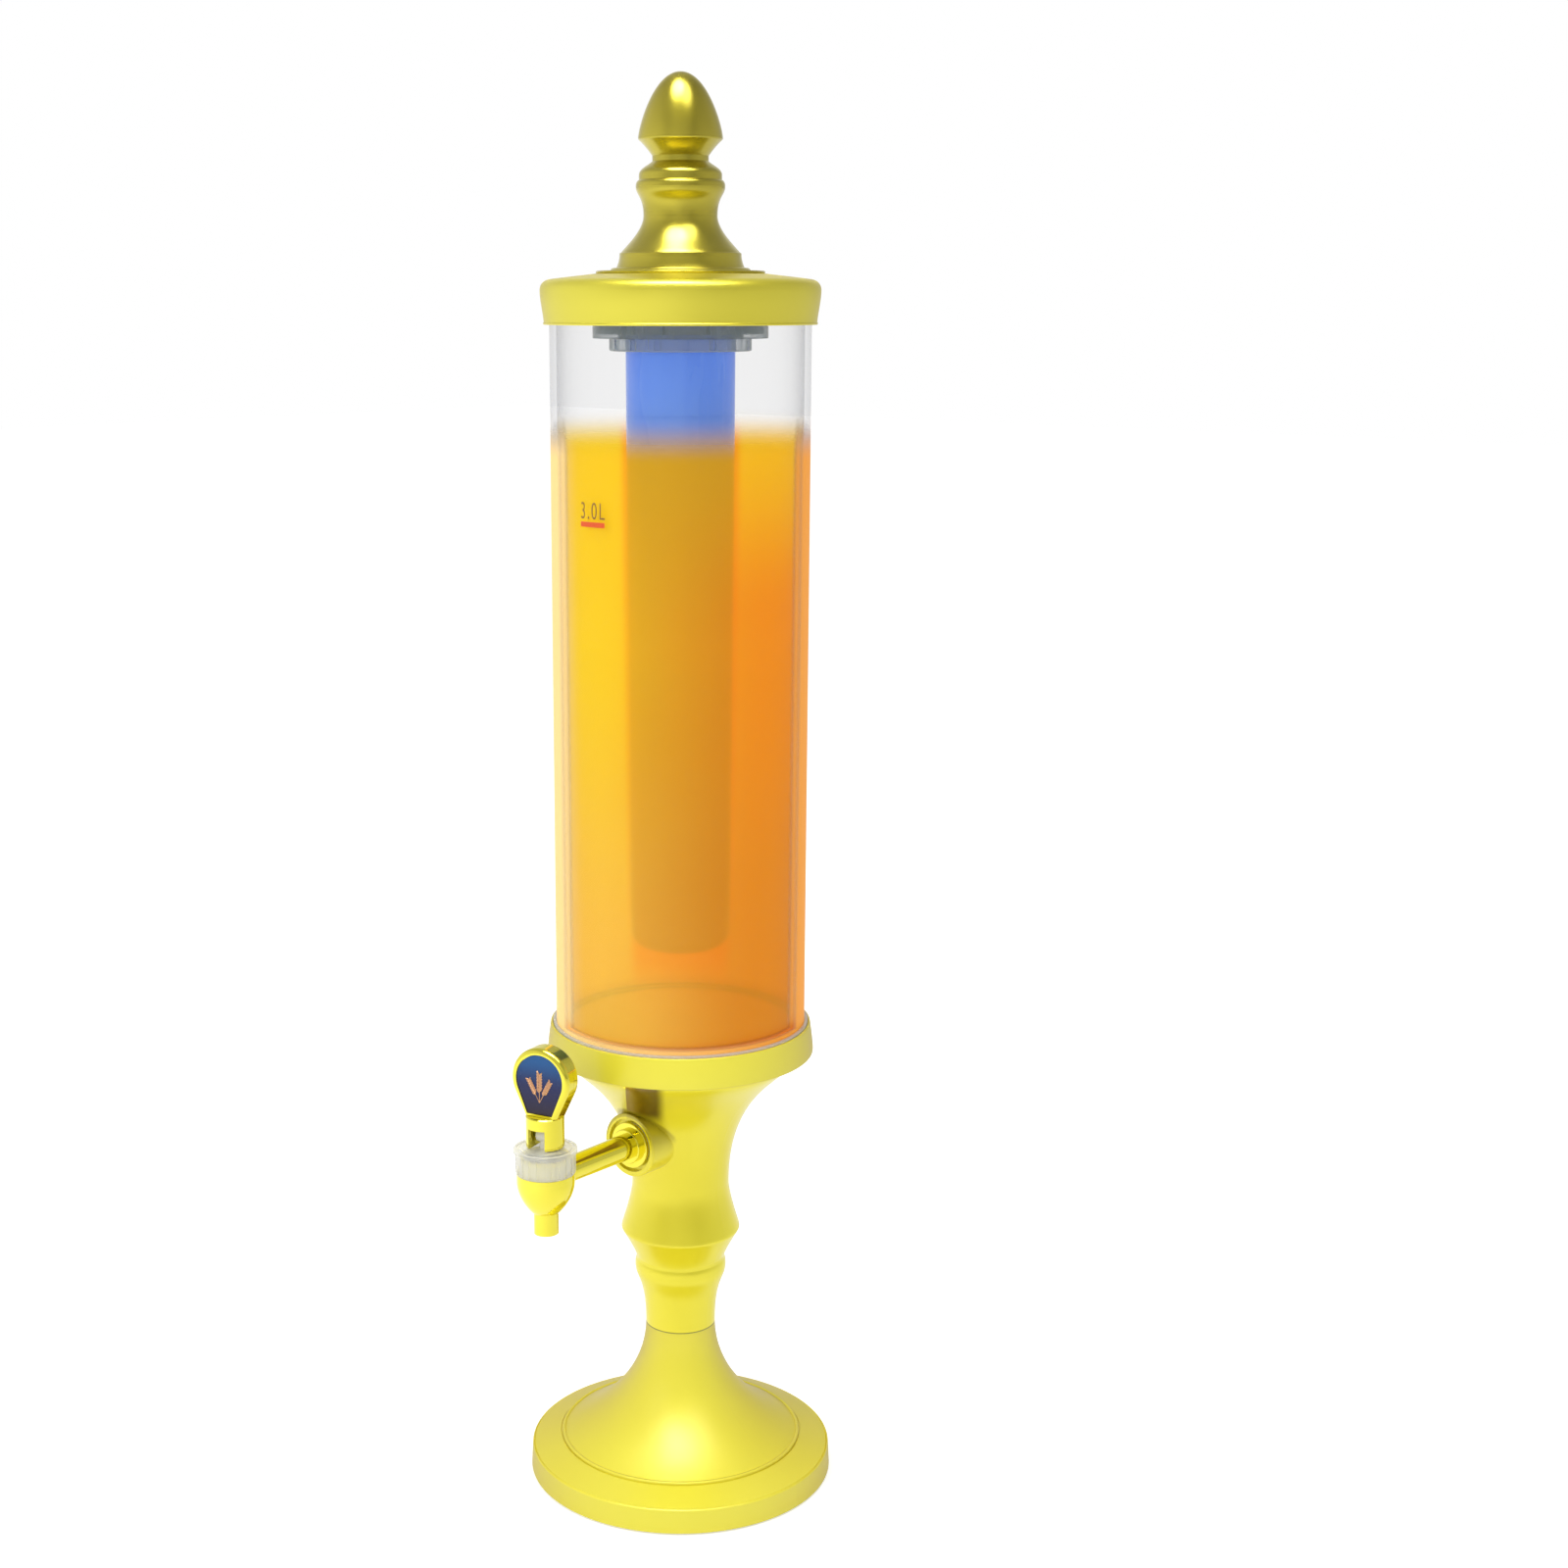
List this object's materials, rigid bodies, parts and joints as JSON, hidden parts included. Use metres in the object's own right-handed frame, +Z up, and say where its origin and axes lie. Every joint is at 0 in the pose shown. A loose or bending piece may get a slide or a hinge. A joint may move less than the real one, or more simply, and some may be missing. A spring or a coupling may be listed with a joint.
{
  "type": "beer tower dispenser",
  "caption": "Table-top drink tower: clear reservoir tube on a turned gold stand, with a lever tap, an acorn-topped lift-off lid and a blue ice tube inside.",
  "frame": {"origin": "centre of the round face that stands on the table, on the tower's axis", "axes": "+Z up along the tower's axis, -Y towards the tap, +X to the right of someone who faces the tap"},
  "size_m": [0.156, 0.1919, 0.7022],
  "materials": {
    "gold": "satin metallised gold",
    "gold_bright": "polished metallised gold",
    "clear": "clear polished acrylic",
    "clear_grey": "clear grey moulded acrylic",
    "clear_blue": "tinted blue, translucent",
    "clear_nut": "clear moulded, ribbed",
    "silicone": "translucent silicone",
    "acetal": "natural white acetal",
    "steel": "stainless",
    "brass": "turned",
    "ballast": "painted",
    "cover": "black, textured",
    "pad": "foam rubber",
    "badge": "printed, clear coated"
  },
  "bodies": {
    "stand": {"foot_plate": "gold", "foot_cover": "cover", "foot_pad": "pad", "ballast_disc": "ballast", "rod_washer": "steel", "rod_nut": "steel", "tie_rod": "steel", "thread_insert": "brass", "pedestal": "gold", "tower_body": "gold", "seat_ring": "gold", "tube_gasket": "silicone", "end_cup": "clear", "reservoir_tube": "clear", "shank_gasket": "silicone", "shank_washer": "gold_bright", "inner_gasket": "silicone", "shank_nut": "gold_bright", "tap_body": "gold_bright", "bonnet_nut": "clear_nut", "stem_seal": "silicone"},
    "plug": {"valve_plug": "silicone", "return_spring": "steel"},
    "stem": {"valve_stem": "acetal", "lever_pin": "steel"},
    "lever": {"lever_body": "gold_bright", "paddle_front": "gold_bright", "paddle_screws": "steel", "badge_front": "badge", "badge_back": "badge"},
    "lid": {"lid_shell": "gold", "lid_seal": "silicone", "finial_pedestal": "gold_bright", "acorn_knob": "gold_bright", "finial_stud": "steel", "stud_washer": "steel", "stud_nut": "steel", "ice_holder": "clear_grey"},
    "ice_collar": {"ice_collar": "clear_grey", "collar_oring": "silicone"},
    "ice_tube": {"ice_tube": "clear_blue"}
  },
  "joints": [
    {"name": "lever_tilt", "type": "hinge", "parent": "stem", "child": "lever", "pos_m": [0, -0.0985, 0.2075], "axis": [0.9744, 0.225, 0], "range_deg": [0, 35], "stiffness_Nm_per_rad": 0.3, "springref_deg": -14.32},
    {"name": "lever_swivel", "type": "hinge", "parent": "plug", "child": "stem", "pos_m": [0, -0.0985, 0.19], "axis": [0, 0, 1], "range_deg": [-90, 90]},
    {"name": "stem_lift", "type": "slide", "parent": "stand", "child": "plug", "axis": [0, 0, 1], "range_m": [0, 0.004], "deforming": ["return_spring"]},
    {"name": "lid_lift", "type": "slide", "parent": "stand", "child": "lid", "axis": [0, 0, 1], "range_m": [0, 0.36]},
    {"name": "ice_collar_twist", "type": "hinge", "parent": "lid", "child": "ice_collar", "pos_m": [0, 0, 0.58], "axis": [0, 0, 1], "range_deg": [0, 60]},
    {"name": "ice_tube_drop", "type": "slide", "parent": "ice_collar", "child": "ice_tube", "axis": [0, 0, -1], "range_m": [0, 0.03]}
  ],
  "couplings": [
    {"joint": "stem_lift", "follows": "lever_tilt", "m_per_rad": 0.0062}
  ]
}
